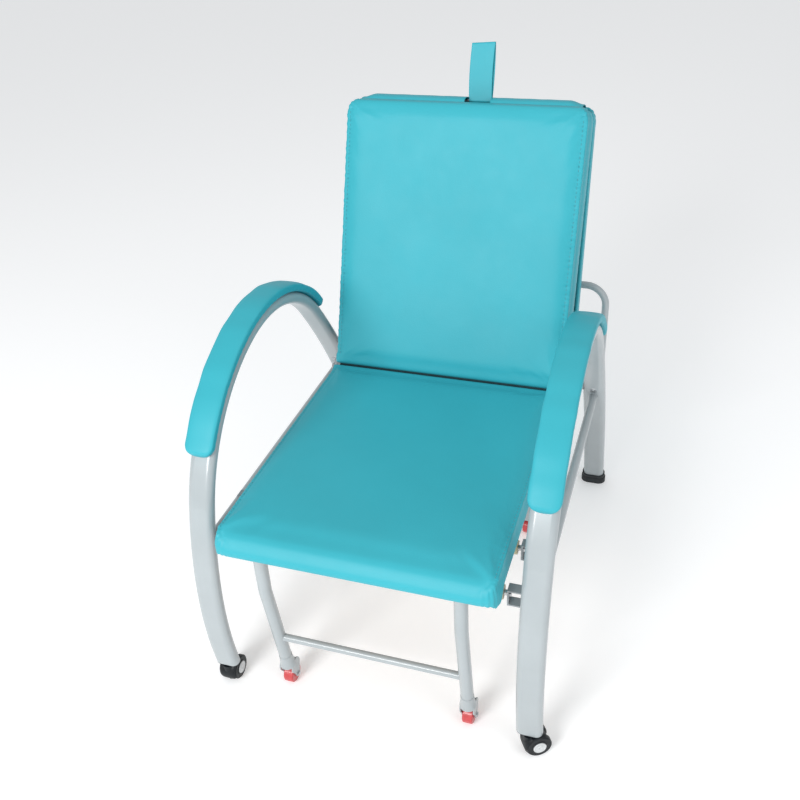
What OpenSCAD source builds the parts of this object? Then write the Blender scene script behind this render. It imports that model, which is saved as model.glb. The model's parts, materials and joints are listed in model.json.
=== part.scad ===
// Fold-out patient chair: three hinged upholstered panels carried between two arched side frames.
// Pulling the seat forward on its own wheels lays the back and head panels down into a level bed.
// X runs across the chair, Y from front to back, Z up. The origin is on the floor, midway in depth.

/* [Side frames] */
// Spacing between the centre planes of the two arm tubes
arm_spacing = 620; // [614:1:640]
// Width of the flat-oval arm tube, across the chair
arm_width = 50; // [44:1:52]
// Thickness of the flat-oval arm tube, in the plane of the arch
arm_thick = 25; // [24:1:26]
// Wall thickness of the steel tubes
tube_wall = 1.5; // [1.2:0.1:1.8]
// Width of an armrest pad
pad_width = 58; // [54:1:62]
// Thickness of an armrest pad
pad_thick = 20; // [16:1:24]

/* [Panels] */
// Height of the upper surface of the seat, and of the bed when opened
seat_top = 447; // [440:1:460]
// Half the width of the seat
seat_half = 259; // [252:1:260]
// Half the width of the back and head panels
back_half = 256; // [252:1:256]
// Length of the seat, from its rear hinge line to its front edge
seat_length = 625; // [600:5:640]
// Length of the back panel, from its lower hinge line to the top hinge line
back_length = 594; // [580:1:600]
// Lean of the back panel, from horizontal
recline = 70.4; // [69:0.1:71]
// Distance from the joint plane of a panel to its upholstered face
deck = 65; // [62:1:68]

/* [Trolley] */
// Distance between the centre planes of the trolley wheels
wheel_track = 374; // [340:2:390]
// Radius of a red trolley wheel
wheel_r = 20; // [18:0.5:21]
// Width of a red trolley wheel
wheel_width = 21; // [18:1:22]

/* [Casters] */
// Radius of a front caster wheel
caster_r = 24.5; // [22:0.5:24.5]
// Distance from the swivel axis of a caster to its axle
caster_trail = 14; // [10:1:16]
// Swivel angle at which the left caster stands
left_swivel = 0; // [-90:1:90]
// Swivel angle at which the right caster stands
right_swivel = -58; // [-90:1:90]

/* [Strap] */
// Width of the pull strap
strap_width = 50; // [40:1:60]
// Length of the pull strap, from the hinge rod to its upper bend
strap_length = 111; // [90:1:120]
// Distance of the strap from the middle of the chair
strap_x = 20; // [0:1:40]

/* [Hidden] */
$fn = 64;

// Colours of the real pieces
vinyl = [0.36, 0.76, 0.83];
paint = [0.86, 0.89, 0.89];
steel = [0.72, 0.74, 0.75];
rubber = [0.10, 0.12, 0.13];
red_plastic = [0.84, 0.20, 0.18];
nylon = [0.91, 0.87, 0.70];
plywood = [0.76, 0.62, 0.43];

// Arch of a side frame: a start pose [y, z, heading], then [radius, turn] arcs
arm_start = [8, 53, 101];
arm_arcs = [[800, -28], [340, -60], [290, -65], [1650, -21.6]];
arm_x = arm_spacing / 2;
// Length and turn left open after each segment of a bent tube, a parting line of about 0.02 mm
straight_parting = 0.02;
arc_parting = 0.002;
// The pad starts this far into the second arc and ends this far into the fourth, in degrees
pad_skip = 15.7;
pad_over = 0.4;
pad_edge_r = 8;
pad_screw_r = 4;
pad_screw_h = 2.5;
// How far each pad screw lies along its arc
pad_screw_turns = [18, 40];

// Panels: the joint plane is where the frames of two folded panels meet
joint_z = seat_top - deck;
frame_gap = 1.5;
frame_r = 10;
rung_r = 8.5;
frame_bend = 40;
frame_half = back_half - 20;
frame_w = frame_gap + frame_r;
board_w = frame_gap + 2 * frame_r;
board_thick = 8;
board_half = back_half - 11;
board_lap = 10;
seat_board_gap = 12;
skirt_w = 3;
skirt_thick = 8;
panel_corner = 26;
panel_edge = 12;
hinge_edge = 10;
end_gap = 10;
top_gap = 4;
seat_nose = 30;
// Frame tubes stop this far short of a hinge line
frame_end = 30;
back_frame_start = frame_end + 4;
head_start = 14;

// Hinge lines in the plane of symmetry, as [y, z]
seat_hinge = [573, seat_top - 20];
head_pivot = [692, joint_z];
hinge_rise = seat_hinge[1] - joint_z;
apex = seat_hinge + turned([back_length, -hinge_rise], recline);
head_length = norm(apex - head_pivot);
head_angle = atan2(apex[1] - head_pivot[1], apex[0] - head_pivot[0]);
hinge_rod_r = 2.5;
hinge_eye_r = 4;
hinge_eye_len = 24;
rod_over = 4;
head_eye_x = 150;
back_eye_x = 120;
running = 0.06;
cross_tube_r = 8;
cross_lap = 3;
sleeve_r = 12;
sleeve_len = 40;
sleeve_x = 190;

// Hinge plates beside the seat and back
plate_thick = 3;
plate_eye_r = 9.5;
pivot_bolt_r = 4;
pivot_head_r = 8;
back_plate_x = back_half + 1;
seat_plate_x = back_plate_x + plate_thick + 1;
seat_tab = [[-60, -42], [-60, -22], [-2, 9], [9, -2], [6, -42]];
back_tab = [[-7, -6], [2, 9], [70, -8], [70, -44], [40, -44]];
plate_spacer = 12;
strap_loop_r = 3.7;
strap_thick = 1.1;
back_boss_y = [48, 62];
back_boss_r = 3;
seat_spacer_y = [-52, -30];

// Rear tie bar
tie_r = 8;
tie_top = 575;
tie_bend = 46;
tie_foot = 182;
tie_gap = 1;
tie_y = head_pivot[0] + (tie_top - joint_z) / tan(head_angle) + (deck + tie_r + tie_gap) / sin(head_angle);

// Side rails and the rollers on them
rail_r = 9;
rail_z = 355;
rail_front = 14;
rail_rear = 696;
rail_tab = [20, 3, 46];
rail_tab_y = 686;
rail_tab_z = 379;
// Lean of the rear leg where the rail's tab lies against it
rail_tab_lean = 30.4;
rail_head_r = 6.5;
rail_head_h = 4;
roller_y = [30, 145];
roller_z = 368;
roller_r = 13;
roller_bore = 3.06;
roller_bolt_r = 3;
roller_x = [241.2, 253];
roller_web_x = 260;
bracket_width = 20;
bracket_height = 34;
bracket_wall = 3;
bracket_low = 348;

// Feet, plugs and casters
foot_oval = [60, 36];
foot_slab = 14;
foot_wall = 3;
foot_collar = 12;
// The sole sits this far behind the tube's centre, and the collar runs this far down into it
foot_shift = 2;
foot_sink = 6;
plug_depth = 32;
plug_fit = 0.1;
plug_cap = 1.5;
plug_lap = 1;
stem_y = 5.5;
stem_r = 5;
stem_top = 82;
caster_top = 46;
caster_boss_r = 12;
caster_boss_low = 32;
caster_web = 12;
caster_fender = 3.5;
caster_gap = 7;
caster_outer = 19;
caster_axle_r = 3;
caster_hub_r = 16;

// Trolley legs: start pose below the seat frame, then [0, length] straights and [radius, turn] arcs
leg_r = 12.5;
leg_x = wheel_track / 2;
leg_top = 388;
leg_straight = 85;
leg_bend = 120;
leg_foot_z = 58;
front_lean = 9;
rear_lean = 14;
leg_y = [-7, 545];
crossbar_r = 7.5;
crossbar_z = 149;
cope_gap = 0.02;
fork_plate = 2.5;
fork_trail = 10;
fork_lift = 28;
fork_disc_r = 17;
fork_disc_y = -4;
fork_cap_lift = 5.25;
fork_cap_inset = 3;
fork_clear = 1.5;
fork_tip_r = 7;
axle_r = 3;
axle_half = 17.5;
axle_head_r = 5;
axle_head_h = 3;

// Depth of the chair, front edge of the seat to the top rear edge of the head panel
head_edge = head_pivot + turned([head_length - top_gap - panel_edge, panel_edge - deck], head_angle);
depth_middle = (seat_hinge[0] - seat_length + head_edge[0] + panel_edge) / 2;

function turned(p, a) = [p[0] * cos(a) - p[1] * sin(a), p[0] * sin(a) + p[1] * cos(a)];

// Pose after one segment: [0, length] runs straight on, [radius, turn] bends
function after(p, s) =
  s[0] == 0
    ? [p[0] + s[1] * cos(p[2]), p[1] + s[1] * sin(p[2]), p[2]]
    : let (k = sign(s[1]) * s[0])
      [
        p[0] + k * (sin(p[2] + s[1]) - sin(p[2])),
        p[1] - k * (cos(p[2] + s[1]) - cos(p[2])),
        p[2] + s[1]
      ];

function parted(s) = s[0] == 0 ? s - [0, straight_parting] : s - [0, sign(s[1]) * arc_parting];

function pose_at(start, path, n) = n == 0 ? start : after(pose_at(start, path, n - 1), path[n - 1]);

arm_end = pose_at(arm_start, arm_arcs, len(arm_arcs));
pad_start = after(pose_at(arm_start, arm_arcs, 1), [arm_arcs[1][0], -pad_skip]);
pad_arcs = [[arm_arcs[1][0], arm_arcs[1][1] + pad_skip], arm_arcs[2], [arm_arcs[3][0], -pad_over]];

function leg_path(lean) =
  let (bent = after(after([0, leg_top, -90], [0, leg_straight]), [leg_bend, lean]))
  [[0, leg_straight], [leg_bend, lean], [0, (bent[1] - leg_foot_z) / cos(lean)]];

function leg_start(i) = [leg_y[i], leg_top, -90];
function lean_of(i) = i == 0 ? front_lean : rear_lean;
function leg_end(i) = pose_at(leg_start(i), leg_path(lean_of(i)), 3);

// Everything is drawn with y measured from the front feet, then centred in depth
module centred() {
  translate([0, -depth_middle, 0]) children();
}

// Turns a drawing in the XY plane into the plane across the chair: x to Y, y to Z, z to X
module upright() {
  rotate([90, 0, 90]) children();
}

module crosswise(radius, length) {
  rotate([0, 90, 0]) cylinder(r = radius, h = length, center = true);
}

module segment(s) {
  if (s[0] == 0)
    translate([0, s[1], 0]) rotate([90, 0, 0]) linear_extrude(s[1]) children();
  else if (s[1] > 0)
    translate([-s[0], 0, 0]) rotate_extrude(angle = s[1]) translate([s[0], 0]) children();
  else
    mirror([1, 0, 0]) translate([-s[0], 0, 0])
      rotate_extrude(angle = -s[1]) translate([s[0], 0]) mirror([1, 0]) children();
}

module tube_path(start, path) {
  for (i = [0 : len(path) - 1]) {
    p = pose_at(start, path, i);
    translate([p[0], p[1], 0]) rotate([0, 0, p[2] - 90]) segment(path[i]) children();
  }
}

// The same, with a parting line after each segment
module parted_path(start, path) {
  for (i = [0 : len(path) - 1])
    tube_path(pose_at(start, path, i), [parted(path[i])]) children();
}

module oval(width, thick) {
  for (s = [-1, 1]) translate([0, s * (width - thick) / 2]) circle(d = thick);
  square([thick, width - thick], center = true);
}

module pipe(radius) {
  difference() {
    circle(radius);
    circle(radius - tube_wall);
  }
}

module rounded(width, height, radius) {
  square([width - 2 * radius, height], center = true);
  square([width, height - 2 * radius], center = true);
  for (sx = [-1, 1], sy = [-1, 1])
    translate([sx * (width / 2 - radius), sy * (height / 2 - radius)]) circle(radius);
}

// Side frames

module arm_section() {
  difference() {
    oval(arm_width, arm_thick);
    oval(arm_width - 2 * tube_wall, arm_thick - 2 * tube_wall);
  }
}

module arm_tube(side) {
  color(paint) centred() translate([side * arm_x, 0, 0]) upright()
    parted_path(arm_start, arm_arcs) arm_section();
}

// Frame at the lower end of an arm tube, with y along the tube
module at_arm_end() {
  upright() translate([arm_end[0], arm_end[1], 0]) rotate([0, 0, arm_end[2] - 90]) children();
}

module pad_section() {
  base = arm_thick / 2;
  translate([-base - pad_thick + pad_edge_r, -pad_width / 2]) square([pad_thick - pad_edge_r, pad_width]);
  translate([-base - pad_thick, -pad_width / 2 + pad_edge_r]) square([pad_thick, pad_width - 2 * pad_edge_r]);
  for (s = [-1, 1])
    translate([-base - pad_thick + pad_edge_r, s * (pad_width / 2 - pad_edge_r)]) circle(pad_edge_r);
}

module arm_pad(side) {
  color(vinyl) centred() translate([side * arm_x, 0, 0]) upright()
    parted_path(pad_start, pad_arcs) pad_section();
}

module arm_pad_screws() {
  color(steel) centred()
    for (side = [-1, 1], i = [0, 1]) {
      p = after(pose_at(pad_start, pad_arcs, i), [pad_arcs[i][0], -pad_screw_turns[i]]);
      translate([side * arm_x, 0, 0]) upright() translate([p[0], p[1], 0]) rotate([0, 0, p[2] - 90])
        translate([arm_thick / 2, 0, 0]) rotate([0, 90, 0]) cylinder(r = pad_screw_r, h = pad_screw_h);
    }
}

module side_rail(side) {
  color(paint) centred() translate([side * arm_x, 0, rail_z]) {
    translate([0, rail_front, 0]) rotate([-90, 0, 0]) difference() {
      cylinder(r = rail_r, h = rail_rear - rail_front);
      translate([0, 0, -1]) cylinder(r = rail_r - tube_wall, h = rail_rear - rail_front + 2);
    }
    rail_tab_at(0) cube(rail_tab, center = true);
  }
}

// Frame on the front face of the rear leg, with y out of the tab
module rail_tab_at(out) {
  translate([0, rail_tab_y, rail_tab_z - rail_z]) rotate([rail_tab_lean, 0, 0]) translate([0, -out, 0])
    children();
}

module rail_bolts() {
  color(steel) centred()
    for (side = [-1, 1])
      translate([side * arm_x, 0, rail_z]) rail_tab_at(rail_tab[1] / 2) rotate([90, 0, 0])
        cylinder(r = rail_head_r, h = rail_head_h, $fn = 6);
}

module rear_tie_bar() {
  rise = tie_top - tie_bend - tie_foot;
  span = arm_spacing - 2 * tie_bend;
  path = [[0, rise], [tie_bend, -90], [0, span], [tie_bend, -90], [0, rise]];
  color(paint) centred() translate([0, tie_y, 0]) rotate([90, 0, 0])
    tube_path([-arm_x, tie_foot, 90], path) pipe(tie_r);
}

module rear_cross_tube() {
  color(paint) centred() translate([0, head_pivot[0], head_pivot[1]]) difference() {
    crosswise(cross_tube_r, arm_spacing - arm_width + 2 * cross_lap);
    crosswise(cross_tube_r - tube_wall, arm_spacing);
  }
}

module rear_foot(side) {
  color(rubber) centred() translate([side * arm_x, 0, 0]) difference() {
    union() {
      translate([0, arm_end[0] + foot_shift, 0]) linear_extrude(foot_slab) rotate([0, 0, 90])
        oval(foot_oval[0], foot_oval[1]);
      at_arm_end() translate([0, -foot_collar, 0]) segment([0, foot_collar + foot_sink])
        oval(arm_width + 2 * foot_wall, arm_thick + 2 * foot_wall);
    }
    at_arm_end() translate([0, -2 * foot_collar, 0]) segment([0, 2 * foot_collar])
      oval(arm_width, arm_thick);
  }
}

module leg_plug(side) {
  color(rubber) centred() translate([side * arm_x, 0, 0]) difference() {
    upright() {
      tube_path(after(arm_start, [0, -plug_lap]), [[0, plug_depth]])
        oval(arm_width - 2 * tube_wall - 2 * plug_fit, arm_thick - 2 * tube_wall - 2 * plug_fit);
      tube_path(after(arm_start, [0, -plug_cap]), [[0, plug_cap]]) oval(arm_width, arm_thick);
    }
    translate([0, stem_y, 0]) cylinder(r = stem_r + running, h = stem_top + 1);
  }
}

// Rollers under the panels

module each_roller() {
  centred() for (side = [0, 1], y = roller_y) mirror([side, 0, 0]) translate([0, y, roller_z]) children();
}

module roller_brackets() {
  low = bracket_low - roller_z;
  reach = arm_x - roller_web_x - rail_r + 1;
  color(paint) each_roller() {
    difference() {
      translate([roller_web_x, -bracket_width / 2, low]) cube([bracket_wall, bracket_width, bracket_height]);
      crosswise(roller_bolt_r, 2 * arm_x);
    }
    for (z = [low, low + bracket_height - bracket_wall])
      translate([roller_web_x, -bracket_width / 2, z]) cube([reach, bracket_width, bracket_wall]);
  }
}

module roller_bolts() {
  head = 3;
  play = 0.2;
  head_r = 5;
  nut_r = 5.5;
  color(steel) each_roller() {
    translate([roller_x[0] - play - head, 0, 0]) rotate([0, 90, 0]) cylinder(r = head_r, h = head);
    translate([roller_x[0] - play - head, 0, 0]) rotate([0, 90, 0])
      cylinder(r = roller_bolt_r, h = roller_web_x + bracket_wall + play + head - roller_x[0]);
    translate([roller_x[1] + play, 0, 0]) rotate([0, 90, 0])
      cylinder(r = head_r, h = roller_web_x - roller_x[1] - play);
    translate([roller_web_x + bracket_wall, 0, 0]) rotate([0, 90, 0]) cylinder(r = nut_r, h = head, $fn = 6);
  }
}

module roller(side, i) {
  middle = (roller_x[0] + roller_x[1]) / 2;
  color(nylon) centred() translate([side * middle, roller_y[i], roller_z]) difference() {
    crosswise(roller_r, roller_x[1] - roller_x[0]);
    crosswise(roller_bore, 2 * roller_r);
  }
}

// Front casters, drawn about the swivel axis with the axle behind it

module caster_at(side, swivel) {
  centred() translate([side * arm_x, stem_y, 0]) rotate([0, 0, swivel]) children();
}

module caster_housing(side, swivel) {
  color(rubber) caster_at(side, swivel) difference() {
    union() {
      translate([0, 0, caster_fender]) cylinder(r = stem_r, h = stem_top - caster_fender);
      translate([0, 0, caster_boss_low]) cylinder(r = caster_boss_r, h = caster_top - caster_boss_low);
      translate([0, caster_trail, caster_r]) crosswise(caster_r - caster_fender, caster_web);
    }
    translate([0, caster_trail, caster_r]) crosswise(caster_axle_r, 2 * caster_r);
    for (s = [-1, 1])
      translate([s * (caster_web / 2 + caster_r), caster_trail, caster_r])
        crosswise(caster_r + 1, 2 * caster_r);
  }
}

module caster_axle(side, swivel) {
  color(steel) caster_at(side, swivel) translate([0, caster_trail, caster_r])
    crosswise(caster_axle_r, 2 * caster_outer);
}

module caster_wheel(side, swivel, face) {
  bevel = 2;
  profile = [
    [caster_axle_r + running, caster_gap],
    [caster_r - bevel, caster_gap],
    [caster_r, caster_gap + bevel],
    [caster_r, caster_outer - bevel],
    [caster_r - bevel, caster_outer],
    [caster_hub_r, caster_outer],
    [caster_hub_r - 1, caster_outer + 1],
    [caster_axle_r + running, caster_outer + 1]
  ];
  color(rubber) caster_at(side, swivel) translate([0, caster_trail, caster_r]) rotate([0, face * 90, 0])
    rotate_extrude() polygon(profile);
}

// Panels, drawn flat: x across, y away from the panel's own hinge, z from the joint plane to the upholstery

module seat_place() {
  centred() translate([0, seat_hinge[0], joint_z]) mirror([0, 1, 0]) children();
}

module back_place() {
  centred() translate([0, seat_hinge[0], seat_hinge[1]]) rotate([recline, 0, 0])
    translate([0, 0, -hinge_rise]) children();
}

module head_place() {
  centred() translate([0, head_pivot[0], head_pivot[1]]) rotate([head_angle, 0, 0])
    mirror([0, 0, 1]) children();
}

module frame_ring(v0, v1) {
  long = v1 - v0 - 2 * frame_bend;
  wide = 2 * (frame_half - frame_bend);
  path = [
    [0, long], [frame_bend, 90], [0, wide], [frame_bend, 90],
    [0, long], [frame_bend, 90], [0, wide], [frame_bend, 90]
  ];
  translate([0, 0, frame_w]) tube_path([frame_half, v0 + frame_bend, 90], path) pipe(frame_r);
}

// Stiffening tube across a frame
module frame_rung(v) {
  translate([0, v, frame_w]) difference() {
    crosswise(rung_r, 2 * (frame_half - frame_r) + 1);
    crosswise(rung_r - tube_wall, 2 * frame_half);
  }
}

// Barrels on an axis at the origin, each with a web back to the frame tube at [dy, dz]
module hinge_eyes(x, radius, length, bore, dy, dz) {
  web = 6;
  for (s = [-1, 1])
    translate([s * x, 0, 0]) difference() {
      union() {
        crosswise(radius, length);
        rotate([atan2(dz, dy), 0, 0]) translate([-length / 2, 0, -web / 2])
          cube([length, norm([dy, dz]), web]);
      }
      crosswise(bore, length + 2);
    }
}

module board(v0, v1) {
  color(plywood) translate([-board_half, v0, board_w]) cube([2 * board_half, v1 - v0, board_thick]);
}

// Side profile of a panel's upholstery, with its two face edges rounded by near_r and far_r
module cap_profile(v0, v1, skirt, near_r, far_r) {
  translate([v0, skirt]) square([near_r, deck - near_r - skirt]);
  translate([v1 - far_r, skirt]) square([far_r, deck - far_r - skirt]);
  translate([v0 + near_r, skirt]) square([v1 - v0 - near_r - far_r, deck - skirt]);
  translate([v0 + near_r, deck - near_r]) circle(near_r);
  translate([v1 - far_r, deck - far_r]) circle(far_r);
}

// Upholstery: rounded over its face edges and far corners, hollow underneath for the board and frame
module upholstery(half, v0, v1, skirt, edges, hollow0, hollow1) {
  difference() {
    intersection() {
      translate([-half, 0, 0]) upright() linear_extrude(2 * half)
        cap_profile(v0, v1, skirt, edges[0], edges[1]);
      translate([0, v0, 0]) linear_extrude(deck + 1) rounded(2 * half, 2 * (v1 - v0), panel_corner);
    }
    translate([skirt_thick - half, hollow0, -1])
      cube([2 * (half - skirt_thick), hollow1 - hollow0, board_w + board_thick + 1]);
  }
}

module head_frame() {
  color(paint) head_place() {
    frame_ring(frame_end, head_length - frame_end);
    frame_rung(head_length / 2);
    hinge_eyes(sleeve_x, sleeve_r, sleeve_len, cross_tube_r + running, frame_end, frame_w);
    translate([0, head_length, 0])
      hinge_eyes(head_eye_x, hinge_eye_r, hinge_eye_len, hinge_rod_r, -frame_end, frame_w);
  }
}

module head_board() {
  head_place() board(frame_end - board_lap, head_length - frame_end + board_lap);
}

module head_cushion() {
  color(vinyl) head_place()
    upholstery(
      back_half, head_start, head_length - top_gap, skirt_w, [panel_edge, panel_edge], 0, head_length + 1
    );
}

module top_hinge_rod() {
  color(steel) head_place() translate([0, head_length, 0])
    crosswise(hinge_rod_r, 2 * (head_eye_x + hinge_eye_len / 2 + rod_over));
}

module strap_outline(radius) {
  translate([strap_length / 2, 0]) rotate(90) oval(strap_length + 2 * radius, 2 * radius);
}

module pull_strap() {
  lean = (recline + head_angle) / 2;
  color(vinyl) centred() translate([strap_x - strap_width / 2, apex[0], apex[1]]) rotate([lean, 0, 0])
    upright() linear_extrude(strap_width) difference() {
      strap_outline(strap_loop_r);
      strap_outline(strap_loop_r - strap_thick);
    }
}

module back_frame() {
  color(paint) back_place() {
    frame_ring(back_frame_start, back_length - frame_end);
    frame_rung(back_length / 2);
    translate([0, back_length, 0])
      hinge_eyes(back_eye_x, hinge_eye_r, hinge_eye_len, hinge_rod_r + running, -frame_end, frame_w);
  }
}

module back_board() {
  back_place() board(back_frame_start - board_lap, back_length - frame_end + board_lap);
}

module back_cushion() {
  color(vinyl) back_place()
    upholstery(
      back_half, end_gap, back_length - top_gap, skirt_w, [hinge_edge, panel_edge],
      end_gap + skirt_thick, back_length + 1
    );
}

module plate(x, bore, tab) {
  for (side = [0, 1]) mirror([side, 0, 0]) translate([x, 0, hinge_rise]) upright() linear_extrude(plate_thick)
    difference() {
      union() {
        circle(plate_eye_r);
        polygon(tab);
      }
      circle(bore);
    }
}

module back_hinge_plates() {
  color(steel) back_place() {
    plate(back_plate_x, pivot_bolt_r + running, back_tab);
    for (side = [0, 1], v = back_boss_y) mirror([side, 0, 0])
      translate([frame_half + frame_r - 1, v, frame_w]) rotate([0, 90, 0])
        cylinder(r = back_boss_r, h = back_plate_x + 1 - frame_half - frame_r);
  }
}

module seat_frame() {
  color(paint) seat_place() {
    frame_ring(seat_hinge[0] - leg_y[1], seat_hinge[0] - leg_y[0]);
    frame_rung(seat_length / 2);
  }
}

module seat_board() {
  seat_place() board(end_gap + seat_board_gap, seat_length - seat_board_gap);
}

module seat_cushion() {
  color(vinyl) seat_place()
    upholstery(
      seat_half, end_gap, seat_length, board_w, [hinge_edge, seat_nose],
      end_gap + skirt_thick, seat_length - skirt_thick
    );
}

module seat_hinge_plates() {
  reach = seat_plate_x - frame_half - frame_r + 2;
  color(steel) seat_place() mirror([0, 1, 0]) {
    plate(seat_plate_x, pivot_bolt_r, seat_tab);
    for (side = [0, 1], y = seat_spacer_y) mirror([side, 0, 0])
      translate([frame_half + frame_r - 1, y, frame_w - plate_spacer / 2])
        cube([reach, plate_spacer, plate_spacer]);
  }
}

module seat_hinge_bolts() {
  shank = seat_plate_x + plate_thick - back_plate_x + 1;
  head = 4;
  color(steel) seat_place() for (side = [0, 1]) mirror([side, 0, 0]) translate([0, 0, hinge_rise]) {
    translate([back_plate_x - 1, 0, 0]) rotate([0, 90, 0]) cylinder(r = pivot_bolt_r, h = shank);
    translate([seat_plate_x + plate_thick, 0, 0]) rotate([0, 90, 0])
      cylinder(r = pivot_head_r, h = head, $fn = 6);
  }
}

// Trolley legs and wheels

module both_legs() {
  for (side = [-1, 1]) translate([side * leg_x, 0, 0]) upright() children();
}

module leg_frame(i) {
  path = leg_path(lean_of(i));
  bar_y = leg_end(i)[0] - (crossbar_z - leg_foot_z) * tan(lean_of(i));
  color(paint) centred() {
    both_legs() parted_path(leg_start(i), path) pipe(leg_r);
    difference() {
      translate([0, bar_y, crossbar_z]) rotate([0, 90, 0]) linear_extrude(2 * leg_x, center = true)
        pipe(crossbar_r);
      both_legs() tube_path(pose_at(leg_start(i), path, 2), [path[2]]) circle(leg_r + cope_gap);
    }
  }
}

// Local frame on the axle of a trolley wheel
module wheel_at(side, i) {
  centred() translate([side * leg_x, leg_end(i)[0] + fork_trail, wheel_r]) children();
}

module fork(side, i) {
  inner = wheel_width / 2 + fork_clear;
  color(paint) wheel_at(side, i) difference() {
    union() {
      for (s = [-1, 1]) translate([s * (inner + fork_plate / 2), 0, 0]) {
        translate([0, fork_disc_y, fork_lift]) crosswise(fork_disc_r, fork_plate);
        crosswise(fork_tip_r, fork_plate);
        translate([-fork_plate / 2, 0, 0]) upright() linear_extrude(fork_plate)
          polygon([
            [fork_tip_r, 0], [-fork_tip_r, 0],
            [fork_disc_y - fork_disc_r, fork_lift], [fork_disc_y + fork_disc_r, fork_lift]
          ]);
      }
      translate([0, fork_disc_y, fork_lift + fork_cap_lift])
        cube([2 * inner + 2, 2 * (fork_disc_r - fork_cap_inset), fork_plate], center = true);
    }
    crosswise(axle_r, 4 * inner);
  }
}

module axle(side, i) {
  color(steel) wheel_at(side, i) {
    crosswise(axle_r, 2 * axle_half);
    for (s = [-1, 1]) translate([s * (axle_half - axle_head_h / 2), 0, 0]) rotate([0, 90, 0])
      cylinder(r = axle_head_r, h = axle_head_h, center = true, $fn = 6);
  }
}

module trolley_wheel(side, i) {
  half = wheel_width / 2;
  bevel = 2;
  color(red_plastic) wheel_at(side, i) rotate([0, 90, 0]) rotate_extrude() polygon([
    [axle_r + running, -half], [wheel_r - bevel, -half], [wheel_r, bevel - half],
    [wheel_r, half - bevel], [wheel_r - bevel, half], [axle_r + running, half]
  ]);
}

arm_tube(-1);  // left_arm_tube
arm_tube(1);  // right_arm_tube
arm_pad(-1);  // left_arm_pad
arm_pad(1);  // right_arm_pad
arm_pad_screws();
side_rail(-1);  // left_side_rail
side_rail(1);  // right_side_rail
rail_bolts();
rear_tie_bar();
rear_cross_tube();
rear_foot(-1);  // left_rear_foot
rear_foot(1);  // right_rear_foot
leg_plug(-1);  // left_leg_plug
leg_plug(1);  // right_leg_plug
roller_brackets();
roller_bolts();
roller(-1, 0);  // left_front_roller
roller(-1, 1);  // left_mid_roller
roller(1, 0);  // right_front_roller
roller(1, 1);  // right_mid_roller
caster_housing(-1, left_swivel);  // left_caster_housing
caster_axle(-1, left_swivel);  // left_caster_axle
caster_wheel(-1, left_swivel, 1);  // left_caster_wheel_inner
caster_wheel(-1, left_swivel, -1);  // left_caster_wheel_outer
caster_housing(1, right_swivel);  // right_caster_housing
caster_axle(1, right_swivel);  // right_caster_axle
caster_wheel(1, right_swivel, -1);  // right_caster_wheel_inner
caster_wheel(1, right_swivel, 1);  // right_caster_wheel_outer
head_frame();
head_board();
head_cushion();
top_hinge_rod();
pull_strap();
back_frame();
back_board();
back_cushion();
back_hinge_plates();
seat_frame();
seat_board();
seat_cushion();
seat_hinge_plates();
seat_hinge_bolts();
leg_frame(0);  // front_leg_frame
leg_frame(1);  // rear_leg_frame
fork(-1, 0);  // left_front_fork
axle(-1, 0);  // left_front_axle
trolley_wheel(-1, 0);  // left_front_wheel
fork(1, 0);  // right_front_fork
axle(1, 0);  // right_front_axle
trolley_wheel(1, 0);  // right_front_wheel
fork(-1, 1);  // left_rear_fork
axle(-1, 1);  // left_rear_axle
trolley_wheel(-1, 1);  // left_rear_wheel
fork(1, 1);  // right_rear_fork
axle(1, 1);  // right_rear_axle
trolley_wheel(1, 1);  // right_rear_wheel
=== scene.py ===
import json
import math
import random

import bmesh
import bpy
import numpy as np
from mathutils import Matrix, Vector
from mathutils.bvhtree import BVHTree


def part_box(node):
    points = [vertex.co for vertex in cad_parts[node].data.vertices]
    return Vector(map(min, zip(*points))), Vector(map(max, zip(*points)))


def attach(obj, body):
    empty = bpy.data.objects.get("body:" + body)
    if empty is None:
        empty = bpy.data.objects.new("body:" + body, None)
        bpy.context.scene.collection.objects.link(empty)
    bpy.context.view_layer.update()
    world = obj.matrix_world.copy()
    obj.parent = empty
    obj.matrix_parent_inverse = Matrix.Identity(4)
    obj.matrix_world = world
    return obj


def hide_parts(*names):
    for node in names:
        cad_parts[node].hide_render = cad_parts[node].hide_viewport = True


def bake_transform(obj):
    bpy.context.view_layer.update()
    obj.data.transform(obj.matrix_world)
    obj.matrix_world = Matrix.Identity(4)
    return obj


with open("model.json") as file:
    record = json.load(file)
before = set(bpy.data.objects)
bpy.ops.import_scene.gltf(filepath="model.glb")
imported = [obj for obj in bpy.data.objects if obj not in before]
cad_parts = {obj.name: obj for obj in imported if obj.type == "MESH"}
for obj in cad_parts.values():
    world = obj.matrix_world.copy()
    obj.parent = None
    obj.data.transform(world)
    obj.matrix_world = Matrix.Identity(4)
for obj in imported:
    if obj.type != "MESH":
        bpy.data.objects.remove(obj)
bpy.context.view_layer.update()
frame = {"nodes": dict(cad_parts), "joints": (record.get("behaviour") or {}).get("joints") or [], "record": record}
scene = bpy.context.scene
random.seed(7)

# Hinge lines of the three panels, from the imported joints
PIVOT = {joint["name"]: Vector(joint["pos_m"]) for joint in frame["joints"]}
HEAD_PIVOT = PIVOT["bed_fold"]
APEX = PIVOT["panel_fold"]
SEAT_HINGE = PIVOT["seat_level"]

# Layers of a panel, measured from the plane in which two folded panels meet
BOARD_TOP = 0.0295
DECK = 0.065
CORNER_ROUND = 0.026

# Side seams and corners of the cushions
SEAM_INSET = 0.011
SEAM_DEPTH = 0.0016
GATHER_PITCH = 0.0135
CORNER_PLEATS = 15
PLEAT_DEPTH = 0.0013
STITCH_PITCH = 0.0085
STITCH_SHARE = 0.62
THREAD_RADIUS = 0.00055

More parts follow.
